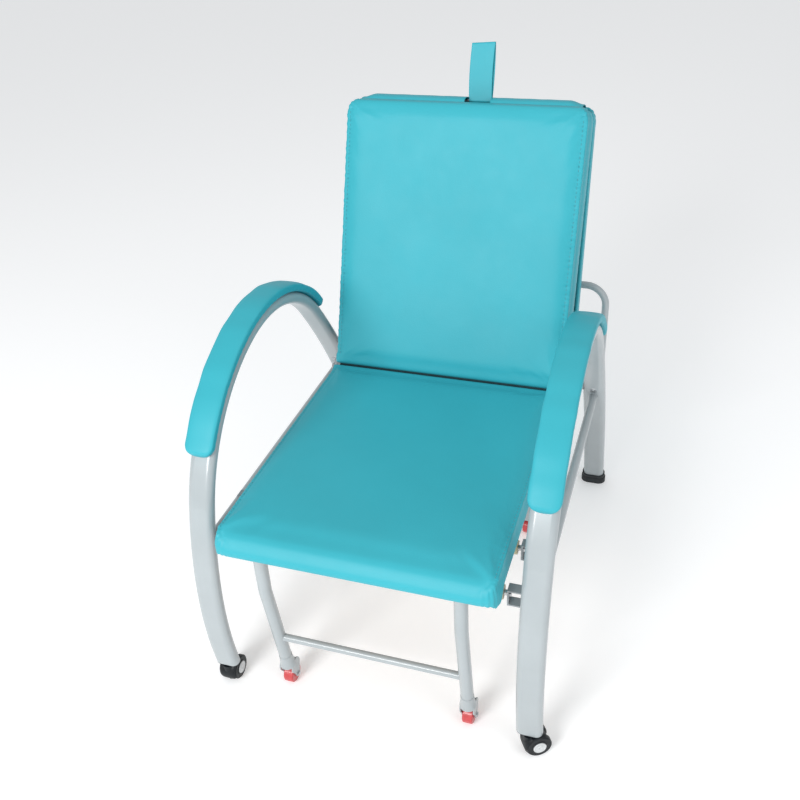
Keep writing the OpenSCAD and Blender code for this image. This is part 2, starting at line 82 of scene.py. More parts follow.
# Foam: voxel size of its mesh, Cloth pressure and stiffness, and the hollows that use leaves in it
VOXEL = 0.006
PRESSURE = 4.0
STIFFNESS = 15.0
CLOTH_STEPS = 20
UNEVEN = 0.0022
WORN = 0.0035

# Arches of the side frames: start [y, z, heading] from the front feet, then [radius, turn] arcs
ARCH_START = (0.008, 0.053, 101.0)
ARCH_ARCS = ((0.800, -28.0), (0.340, -60.0), (0.290, -65.0), (1.650, -21.6))
ARM_THICK = 0.025

# The seat's front edge as seen from the front feet, which places the arches along y
SEAT_FRONT_Y = -0.052

# Armrest pads: degrees of the second arc before a pad and of the fourth under it, section and tapered tips
PAD_SKIP = 15.7
PAD_OVER = 0.4
PAD_WIDTH = 0.057
PAD_THICK = 0.0195
PAD_SWELL = 0.0022
PAD_SIDES = 40
PAD_RINGS = 150
NARROW_TIP = 0.022
THIN_TIP = 0.010

# Pull strap: bend radius round the rod, vinyl thickness, steps of a bend, of a run and across
STRAP_RADIUS = 0.0036
STRAP_THICK = 0.0010
STRAP_BEND = 12
STRAP_RUN = 30
STRAP_COLUMNS = 24


# ---------------------------------------------------------------- materials


def node(tree, kind, **sockets):
    made = tree.nodes.new(kind)
    for name, value in sockets.items():
        made.inputs[name.replace("_", " ")].default_value = value
    return made


def surface(name, colour, roughness, **sockets):
    """A material with object coordinates, ready for its own grain and wear."""
    made = bpy.data.materials.new(name)
    made.use_nodes = True
    tree = made.node_tree
    shader = tree.nodes["Principled BSDF"]
    shader.inputs["Base Color"].default_value = (*colour, 1)
    shader.inputs["Roughness"].default_value = roughness
    for socket, value in sockets.items():
        shader.inputs[socket.replace("_", " ")].default_value = value
    where = tree.nodes.new("ShaderNodeTexCoord")
    return made, tree, shader, where.outputs["Object"]


def noise(tree, where, scale, detail=3.0, roughness=0.5, stretch=None):
    made = node(tree, "ShaderNodeTexNoise", Scale=scale, Detail=detail, Roughness=roughness)
    if stretch:
        mapping = node(tree, "ShaderNodeMapping", Scale=stretch)
        tree.links.new(where, mapping.inputs["Vector"])
        where = mapping.outputs["Vector"]
    tree.links.new(where, made.inputs["Vector"])
    return made.outputs["Fac"]


def mottle(tree, shader, factor, colour, low, high, lo_at=0.3, hi_at=0.7):
    """Lets the base colour wander between two shades of colour."""
    ramp = tree.nodes.new("ShaderNodeValToRGB")
    for stop, at, shade in zip(ramp.color_ramp.elements, (lo_at, hi_at), (low, high)):
        stop.position = at
        stop.color = (*[min(1.0, c * shade) for c in colour], 1)
    tree.links.new(factor, ramp.inputs["Fac"])
    tree.links.new(ramp.outputs["Color"], shader.inputs["Base Color"])
    return ramp


def vary_roughness(tree, shader, factor, low, high):
    spread = tree.nodes.new("ShaderNodeMapRange")
    spread.inputs["To Min"].default_value = low
    spread.inputs["To Max"].default_value = high
    tree.links.new(factor, spread.inputs["Value"])
    tree.links.new(spread.outputs["Result"], shader.inputs["Roughness"])


def emboss(tree, shader, height, distance, strength=1.0, before=None):
    bump = node(tree, "ShaderNodeBump", Distance=distance, Strength=strength)
    tree.links.new(height, bump.inputs["Height"])
    if before is not None:
        tree.links.new(before.outputs["Normal"], bump.inputs["Normal"])
    tree.links.new(bump.outputs["Normal"], shader.inputs["Normal"])
    return bump


def cells(tree, where, scale):
    made = node(tree, "ShaderNodeTexVoronoi", Scale=scale)
    made.feature = "SMOOTH_F1"
    tree.links.new(where, made.inputs["Vector"])
    return made.outputs["Distance"]


def make_vinyl():
    colour = (0.036, 0.385, 0.462)
    made, tree, shader, where = surface("vinyl_teal", colour, 0.46, Specular_IOR_Level=0.3)
    mottle(tree, shader, noise(tree, where, 5.0, 4.0, 0.6), colour, 0.97, 1.03)
    vary_roughness(tree, shader, noise(tree, where, 26.0, 5.0, 0.65), 0.41, 0.54)
    grain = emboss(tree, shader, cells(tree, where, 620.0), 0.00022, 0.55)
    emboss(tree, shader, noise(tree, where, 45.0, 3.0, 0.5), 0.0006, 0.35, grain)
    return made


def make_thread():
    colour = (0.035, 0.26, 0.31)
    made, tree, shader, where = surface("thread_teal", colour, 0.7, Sheen_Weight=0.3)
    emboss(tree, shader, noise(tree, where, 2400.0), 0.0002, 0.6)
    return made


def make_paint(name, colour):
    made, tree, shader, where = surface(name, colour, 0.28, Coat_Weight=0.4, Coat_Roughness=0.12)
    mottle(tree, shader, noise(tree, where, 9.0, 4.0, 0.6), colour, 0.95, 1.04)
    vary_roughness(tree, shader, noise(tree, where, 60.0, 6.0, 0.7), 0.22, 0.42)
    emboss(tree, shader, noise(tree, where, 420.0, 2.0, 0.4), 0.00012, 0.35)
    return made


def make_zinc():
    colour = (0.56, 0.57, 0.58)
    made, tree, shader, where = surface("steel_zinc", colour, 0.34, Metallic=1.0)
    mottle(tree, shader, noise(tree, where, 120.0, 4.0, 0.6), colour, 0.82, 1.1)
    vary_roughness(tree, shader, noise(tree, where, 300.0, 3.0), 0.26, 0.46)
    emboss(tree, shader, noise(tree, where, 900.0, 2.0, 0.5, (1.0, 8.0, 8.0)), 0.0001, 0.3)
    return made


def make_rubber():
    colour = (0.011, 0.014, 0.016)
    made, tree, shader, where = surface("rubber_black", colour, 0.62)
    mottle(tree, shader, noise(tree, where, 60.0, 5.0, 0.7), colour, 0.8, 1.9)
    emboss(tree, shader, noise(tree, where, 700.0, 4.0, 0.6), 0.0002, 0.5)
    return made


def make_black_plastic():
    colour = (0.005, 0.007, 0.009)
    made, tree, shader, where = surface("plastic_black", colour, 0.42, Specular_IOR_Level=0.28)
    mottle(tree, shader, noise(tree, where, 90.0, 4.0), colour, 0.8, 1.7)
    vary_roughness(tree, shader, noise(tree, where, 140.0, 4.0, 0.6), 0.36, 0.52)
    emboss(tree, shader, noise(tree, where, 1100.0), 0.00008, 0.3)
    return made


def make_hub_grey():
    colour = (0.62, 0.64, 0.65)
    made, tree, shader, where = surface("hub_grey", colour, 0.35)
    mottle(tree, shader, noise(tree, where, 110.0, 5.0, 0.7), colour, 0.78, 1.05)
    emboss(tree, shader, noise(tree, where, 900.0), 0.00008, 0.3)
    return made


def make_red():
    colour = (0.56, 0.055, 0.060)
    made, tree, shader, where = surface("plastic_red", colour, 0.32, Coat_Weight=0.25)
    mottle(tree, shader, noise(tree, where, 130.0, 5.0, 0.65), colour, 0.82, 1.08)
    vary_roughness(tree, shader, noise(tree, where, 200.0, 4.0, 0.6), 0.28, 0.5)
    emboss(tree, shader, noise(tree, where, 900.0), 0.00008, 0.3)
    return made


def make_nylon():
    colour = (0.60, 0.54, 0.34)
    made, tree, shader, where = surface("nylon_cream", colour, 0.42, Subsurface_Weight=0.1)
    shader.inputs["Subsurface Radius"].default_value = (0.004, 0.003, 0.002)
    mottle(tree, shader, noise(tree, where, 150.0, 4.0, 0.6), colour, 0.84, 1.05)
    emboss(tree, shader, noise(tree, where, 800.0), 0.0001, 0.3)
    return made


def make_shade_lining():
    # Painted shade: a near-black teal that stands in for the shadow in the valleys between the folded panels
    colour = (0.016, 0.055, 0.065)
    made, tree, shader, where = surface("lining_painted_shade", colour, 0.9)
    mottle(tree, shader, noise(tree, where, 70.0, 4.0, 0.6), colour, 0.8, 1.2)
    emboss(tree, shader, noise(tree, where, 1500.0), 0.0002, 0.4)
    return made


def make_plywood():
    colour = (0.45, 0.29, 0.16)
    made, tree, shader, where = surface("plywood_plain", colour, 0.7)
    grain = noise(tree, where, 18.0, 6.0, 0.65, (1.0, 14.0, 14.0))
    mottle(tree, shader, grain, colour, 0.6, 1.25, 0.25, 0.75)
    emboss(tree, shader, grain, 0.0005, 0.5)
    return made


VINYL = make_vinyl()
THREAD = make_thread()
PAINT = make_paint("paint_white", (0.365, 0.405, 0.42))
# A darker copy of the paint: the own grey of the brackets and hinge plates, and painted shade on the back and head
# frames
GREY_PAINT_AND_SHADE = make_paint("paint_grey_and_shade", (0.27, 0.30, 0.315))
ZINC = make_zinc()
RUBBER = make_rubber()
BLACK = make_black_plastic()
HUB_GREY = make_hub_grey()
RED = make_red()
NYLON = make_nylon()
PLYWOOD = make_plywood()
SHADE_LINING = make_shade_lining()

LOOKS = {
    "vinyl": VINYL,
    "white_paint": PAINT,
    "zinc_steel": ZINC,
    "black_rubber": RUBBER,
    "black_plastic": BLACK,
    "red_plastic": RED,
    "cream_nylon": NYLON,
    "plywood": PLYWOOD,
}
OWN_LOOKS = {
    "roller_brackets": GREY_PAINT_AND_SHADE,
    "seat_hinge_plates": GREY_PAINT_AND_SHADE,
    "back_hinge_plates": GREY_PAINT_AND_SHADE,
    # Painted shade: the board backs take the dark lining so they read as shadow in the gap between the panels
    "back_board": SHADE_LINING,
    "head_board": SHADE_LINING,
    # Painted shade: the white back and head frames take the darker paint so they read as shadow inside the gap
    # between panels
    "back_frame": GREY_PAINT_AND_SHADE,
    "head_frame": GREY_PAINT_AND_SHADE,
}


def dress_cad():
    for part in frame["record"]["subparts"]:
        mesh = frame["nodes"][part["node"]].data
        mesh.materials.clear()
        mesh.materials.append(OWN_LOOKS.get(part["node"], LOOKS[part["material_slot"]]))


# ---------------------------------------------------------------- meshes


def new_object(name, points, faces, material, smooth=True):
    mesh = bpy.data.meshes.new(name)
    mesh.from_pydata([tuple(p) for p in points], [], faces)
    mesh.materials.append(material)
    mesh.validate()
    made = bpy.data.objects.new(name, mesh)
    scene.collection.objects.link(made)
    bm = bmesh.new()
    bm.from_mesh(mesh)
    bmesh.ops.recalc_face_normals(bm, faces=bm.faces)
    bm.to_mesh(mesh)
    bm.free()
    for face in mesh.polygons:
        face.use_smooth = smooth
    return made


def points_of(piece):
    co = np.empty(len(piece.data.vertices) * 3)
    piece.data.vertices.foreach_get("co", co)
    return co.reshape(-1, 3)


def normals_of(piece):
    piece.data.update()
    normals = np.empty(len(piece.data.vertices) * 3)
    piece.data.vertex_normals.foreach_get("vector", normals)
    return normals.reshape(-1, 3)


def set_points(piece, co):
    piece.data.vertices.foreach_set("co", np.ascontiguousarray(co, dtype=np.float32).ravel())
    piece.data.update()


def apply_modifiers(piece):
    graph = bpy.context.evaluated_depsgraph_get()
    mesh = bpy.data.meshes.new_from_object(piece.evaluated_get(graph))
    piece.modifiers.clear()
    piece.data = mesh
    for face in mesh.polygons:
        face.use_smooth = True


def remesh(piece, size):
    change = piece.modifiers.new("remesh", "REMESH")
    change.mode = "VOXEL"
    change.voxel_size = size
    apply_modifiers(piece)


def subdivide(piece):
    piece.modifiers.new("subdivide", "SUBSURF").render_levels = 1
    piece.modifiers["subdivide"].levels = 1
    apply_modifiers(piece)


def inflate(piece, held, limit, ease=None):
    """Swells a closed mesh with Cloth pressure, holding the vertices in held; no point moves more than limit.
    ease is the share of its move that each point keeps."""
    before = points_of(piece)
    group = piece.vertex_groups.new(name="held")
    group.add([int(i) for i in np.nonzero(held)[0]], 1.0, "REPLACE")
    cloth = piece.modifiers.new("cloth", "CLOTH")
    cloth.settings.quality = 4
    cloth.settings.mass = 0.3
    cloth.settings.tension_stiffness = STIFFNESS
    cloth.settings.compression_stiffness = STIFFNESS
    cloth.settings.shear_stiffness = STIFFNESS / 2
    cloth.settings.bending_stiffness = 0.5
    cloth.settings.use_pressure = True
    cloth.settings.uniform_pressure_force = PRESSURE
    cloth.settings.vertex_group_mass = "held"
    cloth.settings.effector_weights.gravity = 0
    cloth.collision_settings.use_collision = False
    cloth.point_cache.frame_start, cloth.point_cache.frame_end = 1, CLOTH_STEPS
    for step in range(1, CLOTH_STEPS + 1):
        scene.frame_set(step)
    graph = bpy.context.evaluated_depsgraph_get()
    after = np.array([v.co for v in piece.evaluated_get(graph).data.vertices])
    piece.modifiers.remove(cloth)
    scene.frame_set(1)
    moved = after - before
    length = np.linalg.norm(moved, axis=1, keepdims=True)
    eased = limit * np.tanh(length / limit)
    share = 1.0 if ease is None else ease[:, None]
    set_points(piece, before + moved * share * eased / np.maximum(length, 1e-9))
    piece.vertex_groups.clear()


# ---------------------------------------------------------------- panels


class Panel:
    """A panel's own directions: u across, v away from its hinge, w from the joint plane to the face."""

    def __init__(self, origin, v_dir, w_dir):
        self.origin = np.array(origin)
        self.axes = np.array([(1.0, 0.0, 0.0), tuple(v_dir), tuple(w_dir)])

    def local(self, co):
        return (co - self.origin) @ self.axes.T

    def world(self, uvw):
        return self.origin + np.asarray(uvw) @ self.axes


def tilted(angle, side=1):
    """Directions v and w of a panel that leans at angle; side -1 turns its face rearward."""
    return (
        Vector((0, math.cos(angle), math.sin(angle))),
        Vector((0, -math.sin(angle), math.cos(angle))) * side,
    )


RISE = SEAT_HINGE.z - HEAD_PIVOT.z
BACK_CHORD = APEX - SEAT_HINGE
BACK_LENGTH = math.sqrt(BACK_CHORD.length_squared - RISE**2)
RECLINE = math.atan2(BACK_CHORD.z, BACK_CHORD.y) + math.atan2(RISE, BACK_LENGTH)
HEAD_CHORD = APEX - HEAD_PIVOT
HEAD_LEAN = math.atan2(HEAD_CHORD.z, HEAD_CHORD.y)
BACK_V, BACK_W = tilted(RECLINE)
HEAD_V, HEAD_W = tilted(HEAD_LEAN, -1)

SEAT = Panel(Vector((0, SEAT_HINGE.y, HEAD_PIVOT.z)), (0, -1, 0), (0, 0, 1))
BACK = Panel(SEAT_HINGE - BACK_W * RISE, BACK_V, BACK_W)
HEAD = Panel(HEAD_PIVOT, HEAD_V, HEAD_W)


def wave(x, seed):
    """A smooth wander between about -1 and 1, the same each run."""
    a, b, c = [3.1 + 1.7 * seed, 7.3 + 0.9 * seed, 12.9 + 1.3 * seed]
    return (np.sin(a * x + seed) + np.sin(b * x + 2.1 * seed) + 0.6 * np.sin(c * x + 0.7 * seed)) / 2.6


def pleats(along, pitch, seed):
    """Gathers at about one pitch apart, 0 on a ridge and 1 in a fold."""
    phase = 2 * math.pi * along / pitch + 1.6 * wave(along * 9, seed) + 0.9 * wave(along * 31, seed + 2)
    return (0.5 + 0.5 * np.cos(phase)) ** 2 * (0.65 + 0.35 * wave(along * 17, seed + 5))


def smoothstep(x):
    x = np.clip(x, 0, 1)
    return x * x * (3 - 2 * x)


def sew(piece, panel, half, v0, v1, depth, seed):
    """Presses the two side seams and their gathers into a cushion, and pleats its two far corners."""
    uvw = panel.local(points_of(piece))
    normals = normals_of(piece)
    u, v, w = uvw.T
    top = smoothstep((w - 0.012) / 0.03)
    push = np.zeros(len(u))
    for side, own_seed in ((-1, seed), (1, seed + 3)):
        inward = half - side * u
        across = (SEAM_INSET - inward) + np.clip(DECK - w, 0, None)
        near = (inward < 0.05) & (w > 0.004)
        groove = SEAM_DEPTH * np.exp(-((across / 0.0022) ** 2))
        outer = np.where(across > 0, np.exp(-np.clip(across, 0, None) / 0.014), 0)
        inner = np.where(across <= 0, np.exp(np.clip(across, None, 0) / 0.006), 0)
        fold = pleats(v, GATHER_PITCH, own_seed) * (outer + 0.55 * inner)
        ends = smoothstep((v - v0 - 0.004) / 0.02) * smoothstep((v1 - v - 0.004) / 0.02)
        push += np.where(near, (groove + depth * fold) * ends * top, 0)
        du = side * (u - side * (half - CORNER_ROUND))
        dv = v - (v1 - CORNER_ROUND)
        inside = smoothstep((du + 0.012) / 0.02) * smoothstep((dv + 0.012) / 0.02)
        rays = (0.5 + 0.5 * np.cos(np.arctan2(dv, du) * CORNER_PLEATS + own_seed)) ** 2
        rays *= smoothstep((np.hypot(du, dv) - 0.008) / 0.012)
        push += PLEAT_DEPTH * rays * inside * smoothstep(w / 0.02)
    set_points(piece, points_of(piece) - normals * push[:, None])


def soften(piece, panel, half, v0, v1, seed):
    """Shallow hollows and swells that foam under vinyl takes with use."""
    uvw = panel.local(points_of(piece))
    u, v, w = uvw.T
    middle = smoothstep((half - np.abs(u)) / 0.10) * smoothstep((v - v0) / 0.10) * smoothstep((v1 - v) / 0.10)
    lift = UNEVEN * wave(u * 1.7 + 0.4 * v, seed) * wave(v * 1.5 - 0.3 * u, seed + 4)
    worn = WORN * np.exp(-((u / 0.15) ** 2) - (((v - (v0 + v1) / 2) / 0.17) ** 2))
    uvw[:, 2] += np.where(w > BOARD_TOP, (lift - worn) * middle, 0)
    set_points(piece, panel.world(uvw))


def stitches(name, cushion, panel, half, v0, v1, body):
    """Thread along the two side seams, one short bead for each stitch."""
    co = points_of(cushion)
    faces = [tuple(f.vertices) for f in cushion.data.polygons]
    tree = BVHTree.FromPolygons([tuple(p) for p in co], faces)
    down = Vector(tuple(-panel.axes[2]))
    points, quads = [], []
    for side in (-1, 1):
        count = int((v1 - v0 - 0.05) / STITCH_PITCH)
        for i in range(count):
            v = v0 + 0.025 + i * STITCH_PITCH
            ends = []
            for at in (v, v + STITCH_SHARE * STITCH_PITCH):
                above = Vector(tuple(panel.world((side * (half - SEAM_INSET), at, DECK + 0.06))))
                hit, _, _, _ = tree.ray_cast(above, down)
                ends.append(hit - down * 0.0002 if hit else None)
            if None not in ends:
                bead(points, quads, ends[0], ends[1], THREAD_RADIUS, -down)
    made = new_object(name, points, quads, THREAD)
    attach(made, body)


def bead(points, quads, a, b, radius, up):
    """A short thread from a to b, sunk a little at both ends, added to points and quads."""
    along = (b - a).normalized()
    side = along.cross(up).normalized()
    rise = side.cross(along)
    first = len(points)
    rows = ((0.0, 0.35, -0.6), (0.2, 1.0, 0.1), (0.8, 1.0, 0.1), (1.0, 0.35, -0.6))
    for share, size, lift in rows:
        centre = a.lerp(b, share) + rise * radius * lift
        for k in range(6):
            turn = k * math.pi / 3
            points.append(centre + (side * math.cos(turn) + rise * math.sin(turn)) * radius * size)
    for row in range(3):
        for k in range(6):
            i, j = first + row * 6 + k, first + row * 6 + (k + 1) % 6
            quads.append((i, j, j + 6, i + 6))
    quads.append(tuple(first + k for k in range(6)))
    quads.append(tuple(first + 18 + k for k in reversed(range(6))))


def cushion(body, panel, depth, seed, swell, widen, trim):
    """Padded vinyl over its board: the CAD solid, remeshed, swollen, sewn and softened.
    depth is that of its gathers; widen and trim change its half width and its length."""
    name, source = body + "_pad", body + "_cushion"
    u, v, _ = panel.local(points_of(frame["nodes"][source])).T
    half, v0, v1 = u.max(), v.min(), v.max()
    mesh = frame["nodes"][source].data.copy()
    made = bpy.data.objects.new(name, mesh)
    scene.collection.objects.link(made)
    mesh.materials.clear()
    mesh.materials.append(VINYL)
    uvw = panel.local(points_of(made))
    uvw[:, 0] *= (half + widen) / half
    uvw[:, 1] = v0 + (uvw[:, 1] - v0) * (v1 - v0 - trim) / (v1 - v0)
    uvw[:, 2] = np.where(uvw[:, 2] > BOARD_TOP + 0.001, uvw[:, 2] - 0.0015, uvw[:, 2])
    uvw[:, 2] = np.where(uvw[:, 2] < 0.008, uvw[:, 2] - 0.002, uvw[:, 2])
    set_points(made, panel.world(uvw))
    remesh(made, VOXEL)
    _, v, w = panel.local(points_of(made)).T
    ease = smoothstep((w - 0.028) / 0.024) * (0.2 + 0.8 * smoothstep((v - v0) / 0.035))
    inflate(made, w < BOARD_TOP + 0.004, swell, ease)
    soften(made, panel, half, v0, v1, seed)
    subdivide(made)
    sew(made, panel, half, v0, v1, depth, seed)
    made.data.materials.clear()
    made.data.materials.append(VINYL)
    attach(made, body)
    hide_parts(source)
    stitches(name + "_stitches", made, panel, half, v0, v1, body)


def make_cushions():
    cushion("seat", SEAT, depth=0.0012, seed=2, swell=0.005, widen=-0.001, trim=0.002)
    cushion("back", BACK, depth=0.0022, seed=5, swell=0.0045, widen=0.002, trim=0.001)
    cushion("head", HEAD, depth=0.0018, seed=9, swell=0.0045, widen=0.002, trim=0.001)


# ---------------------------------------------------------------- armrest pads


def after(pose, radius, turn):
    y, z, heading = pose
    h, a = math.radians(heading), math.radians(turn)
    k = math.copysign(radius, turn)
    return (y + k * (math.sin(h + a) - math.sin(h)), z - k * (math.cos(h + a) - math.cos(h)), heading + turn)


def arch_pose(distance, start, arcs):
    """Pose at a distance along a chain of arcs."""
    pose = start
    for radius, turn in arcs:
        length = radius * abs(math.radians(turn))
        if distance <= length:
            return after(pose, radius, turn * distance / length) if distance > 0 else pose
        pose = after(pose, radius, turn)
        distance -= length
    return pose


def pad_outline(steps):
    """Half-round pad section as [across, out] from -1 to 1 and 0 to 1, flat on the tube."""
    made = []
    for k in range(steps):
        turn = 2 * math.pi * k / steps
        c, s = math.cos(turn), math.sin(turn)
        across = math.copysign(abs(c) ** 0.42, c)
        out = math.copysign(abs(s) ** 0.42, s)
        made.append((across, 0.5 + 0.5 * out * (1 - 0.10 * across**2 * (out > 0))))
    return made


def make_arm_pad(side):
    name = "left" if side < 0 else "right"
    node_name = name + "_arm_pad"
    low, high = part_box(node_name)
    arm_x = (low.x + high.x) / 2
    front_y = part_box("seat_cushion")[0].y - SEAT_FRONT_Y
    start = after(after(ARCH_START, *ARCH_ARCS[0]), ARCH_ARCS[1][0], -PAD_SKIP)
    arcs = ((ARCH_ARCS[1][0], ARCH_ARCS[1][1] + PAD_SKIP), ARCH_ARCS[2], (ARCH_ARCS[3][0], -PAD_OVER))
    total = sum(r * abs(math.radians(t)) for r, t in arcs)
    section = pad_outline(PAD_SIDES)
    points = []
    for i in range(PAD_RINGS + 1):
        distance = total * (i / PAD_RINGS)
        tip = min(distance, total - distance)
        narrow = math.sqrt(max(0.0, 1 - (1 - min(1, (tip + 0.0006) / NARROW_TIP)) ** 2))
        thin = math.sqrt(max(0.0, 1 - (1 - min(1, (tip + 0.0004) / THIN_TIP)) ** 2))
        y, z, heading = arch_pose(distance, start, arcs)
        h = math.radians(heading)
        out = Vector((0, -math.sin(h), math.cos(h)))
        base = Vector((arm_x, y + front_y, z)) + out * ARM_THICK / 2
        for across, lift in section:
            height = PAD_THICK * (0.08 + 0.92 * thin) * lift
            aside = across * PAD_WIDTH / 2 * (0.12 + 0.88 * narrow)
            points.append(base + Vector((aside, 0, 0)) + out * height)
    count = len(section)
    faces = [
        (i * count + k, i * count + (k + 1) % count, (i + 1) * count + (k + 1) % count, (i + 1) * count + k)
        for i in range(PAD_RINGS)
        for k in range(count)
    ]
    faces.append(tuple(range(count)))
    faces.append(tuple(PAD_RINGS * count + k for k in reversed(range(count))))
    made = new_object(name + "_armrest", points, faces, VINYL)
    base_lift = np.tile(np.array([lift for _, lift in section]), PAD_RINGS + 1)
    inflate(made, base_lift < 0.3, PAD_SWELL)
    along = np.repeat(np.linspace(0, total, PAD_RINGS + 1), count)
    across = np.tile(np.array([a for a, _ in section]), PAD_RINGS + 1)
    low_edge = np.exp(-(((base_lift - 0.22) / 0.16) ** 2)) * smoothstep((np.abs(across) - 0.6) / 0.3)
    puckers = 0.0009 * pleats(along + 0.01 * side, 0.016, 4 + side) * low_edge
    dips = 0.0007 * wave(along * 7, 6 + side) * smoothstep(base_lift)
    set_points(made, points_of(made) - normals_of(made) * (puckers + dips)[:, None])
    subdivide(made)
    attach(made, "root")
    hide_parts(node_name)


# ---------------------------------------------------------------- pull strap


def make_strap():
    """A flat vinyl loop round the top hinge rod, with a sewn line down its middle."""
    low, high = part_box("pull_strap")
    lean = (RECLINE + HEAD_LEAN) / 2
    up = Vector((0, math.cos(lean), math.sin(lean)))
    out = Vector((0, -math.sin(lean), math.cos(lean)))
    middle_x, width = (low.x + high.x) / 2, high.x - low.x
    reach = (high.z - APEX.z - 0.0037) / math.sin(lean) - 0.0005
    radius = STRAP_RADIUS
    bend = [math.pi * k / STRAP_BEND for k in range(STRAP_BEND + 1)]
    run = [k / STRAP_RUN for k in range(1, STRAP_RUN)]
    path = [(-radius * math.sin(turn), radius * math.cos(turn)) for turn in bend]
    path += [(reach * share, -radius * (1 - 0.25 * math.sin(math.pi * share))) for share in run]
    path += [(reach + radius * math.sin(turn), -radius * math.cos(turn)) for turn in bend]
    path += [(reach * share, radius * (1 + 0.18 * math.sin(math.pi * share))) for share in reversed(run)]
    count = len(path)
    columns = STRAP_COLUMNS
    points, faces = [], []
    for layer in (0, 1):
        for i, (s, n) in enumerate(path):
            s0, n0 = path[i - 1]
            s1, n1 = path[(i + 1) % count]
            tangent = Vector((s1 - s0, n1 - n0)).normalized()
            normal = Vector((tangent.y, -tangent.x))
            skew = 0.0018 * math.sin(math.pi * min(1, max(0, s / reach))) * (1 if n < 0 else -1)
            for j in range(columns + 1):
                a = 2 * j / columns - 1
                seam = 0.0003 * math.exp(-((a * width / 2 / 0.0016) ** 2))
                rolled = 0.0003 * a**8
                lift = layer * STRAP_THICK - (seam + rolled if layer == 1 else 0)
                wander = 0.0004 * math.sin(math.pi * min(1, max(0, s / reach))) * a
                p = Vector((middle_x + a * width / 2 * 0.985 + skew, APEX.y, APEX.z))
                p += up * (s - normal.x * lift + 0.0015 * a * (s / reach))
                p += out * (n - normal.y * lift + wander)
                points.append(p)
    row = columns + 1
    for layer in (0, 1):
        base = layer * count * row
        for i in range(count):
            for j in range(columns):
                a, b = base + i * row + j, base + ((i + 1) % count) * row + j
                faces.append((a, a + 1, b + 1, b))
    other = count * row
    for i in range(count):
        for j in (0, columns):
            a, b = i * row + j, ((i + 1) % count) * row + j
            faces.append((a, b, b + other, a + other))
    made = new_object("strap_loop", points, faces, VINYL)
    subdivide(made)
    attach(made, "strap")
    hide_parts("pull_strap")


# ---------------------------------------------------------------- trim


def lathe(name, profile, material, steps=48):
    """Turns [radius, height] points about z into a closed piece."""
    points = [
        (r * math.cos(2 * math.pi * k / steps), r * math.sin(2 * math.pi * k / steps), h)
        for r, h in profile
        for k in range(steps)
    ]
    faces = [
        (i * steps + k, i * steps + (k + 1) % steps, (i + 1) * steps + (k + 1) % steps, (i + 1) * steps + k)
        for i in range(len(profile) - 1)
        for k in range(steps)
    ]
    faces.append(tuple(range(steps)))
    faces.append(tuple((len(profile) - 1) * steps + k for k in range(steps)))
    made = new_object(name, points, faces, material)
    made.data.set_sharp_from_angle(angle=math.radians(35))
    return made


def axle_of(body):
    """Centre and direction of the axle that a wheel body spins on."""
    joint = next(j for j in frame["joints"] if j["child"] == body)
    return Vector(joint["pos_m"]), Vector(joint["axis"]).normalized()


def put(piece, at, facing, body):
    turn = facing.to_track_quat("Z", "Y").to_matrix().to_4x4()
    piece.data.transform(Matrix.Translation(at) @ turn)
    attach(piece, body)


def make_caster_caps():
    """Pale hub discs on the outer faces of the twin wheels."""
    profile = [
        (0.0002, 0.0204), (0.0034, 0.0214), (0.0040, 0.0219), (0.0056, 0.0219),
        (0.0061, 0.0212), (0.0098, 0.0210), (0.0108, 0.0216), (0.0119, 0.0215),
        (0.0126, 0.0206), (0.0126, 0.0196), (0.0002, 0.0196),
    ]
    for side in ("left", "right"):
        for place in ("inner", "outer"):
            body = f"{side}_caster_{place}"
            at, axis = axle_of(body)
            low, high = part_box(f"{side}_caster_wheel_{place}")
            facing = axis if ((low + high) / 2 - at).dot(axis) > 0 else -axis
            put(lathe(f"{side}_{place}_hub", profile, HUB_GREY), at, facing, body)


def make_wheel_hubs():
    """Raised rings on both faces of the red wheels."""
    profile = [(0.0066, 0.0103), (0.0066, 0.0113), (0.0088, 0.0113), (0.0094, 0.0109), (0.0094, 0.0103)]
    for row in ("front", "rear"):
        for side in ("left", "right"):
            body = f"{side}_{row}_wheel"
            at, axis = axle_of(body)
            for k, facing in enumerate((axis, -axis)):
                ring = lathe(f"{body}_hub_{k}", profile + profile[:1], RED)
                put(ring, at, facing, body)


def make_collars():
    """Flared lower ends of the trolley legs, which shade the wheels."""
    profile = [
        (0.0124, 0.030), (0.0130, 0.0305), (0.0132, 0.026), (0.0136, 0.018), (0.0145, 0.010),
        (0.0158, 0.003), (0.0164, 0.0), (0.0166, -0.0020), (0.0161, -0.0032), (0.0124, -0.0032),
    ]
    for row, lean in (("front", math.radians(9)), ("rear", math.radians(14))):
        for side in ("left", "right"):
            axle, _ = axle_of(f"{side}_{row}_wheel")
            up = Vector((0, -math.sin(lean), math.cos(lean)))
            end = axle + Vector((0, -0.010, 0.038))
            put(lathe(f"{side}_{row}_collar", profile + profile[:1], PAINT), end, up, "seat")


def plate_faces(rows, columns):
    """Faces of a thin closed plate whose points are two layers of a grid."""
    faces = []
    row, layer = columns + 1, (rows + 1) * (columns + 1)
    for i in range(rows):
        for j in range(columns):
            a = i * row + j
            faces.append((a, a + 1, a + row + 1, a + row))
            faces.append((a + layer, a + layer + row, a + layer + row + 1, a + layer + 1))
        for a in (i * row, i * row + columns):
            faces.append((a, a + row, a + row + layer, a + layer))
    for j in range(columns):
        for a in (j, rows * row + j):
            faces.append((a, a + 1, a + 1 + layer, a + layer))
    return faces


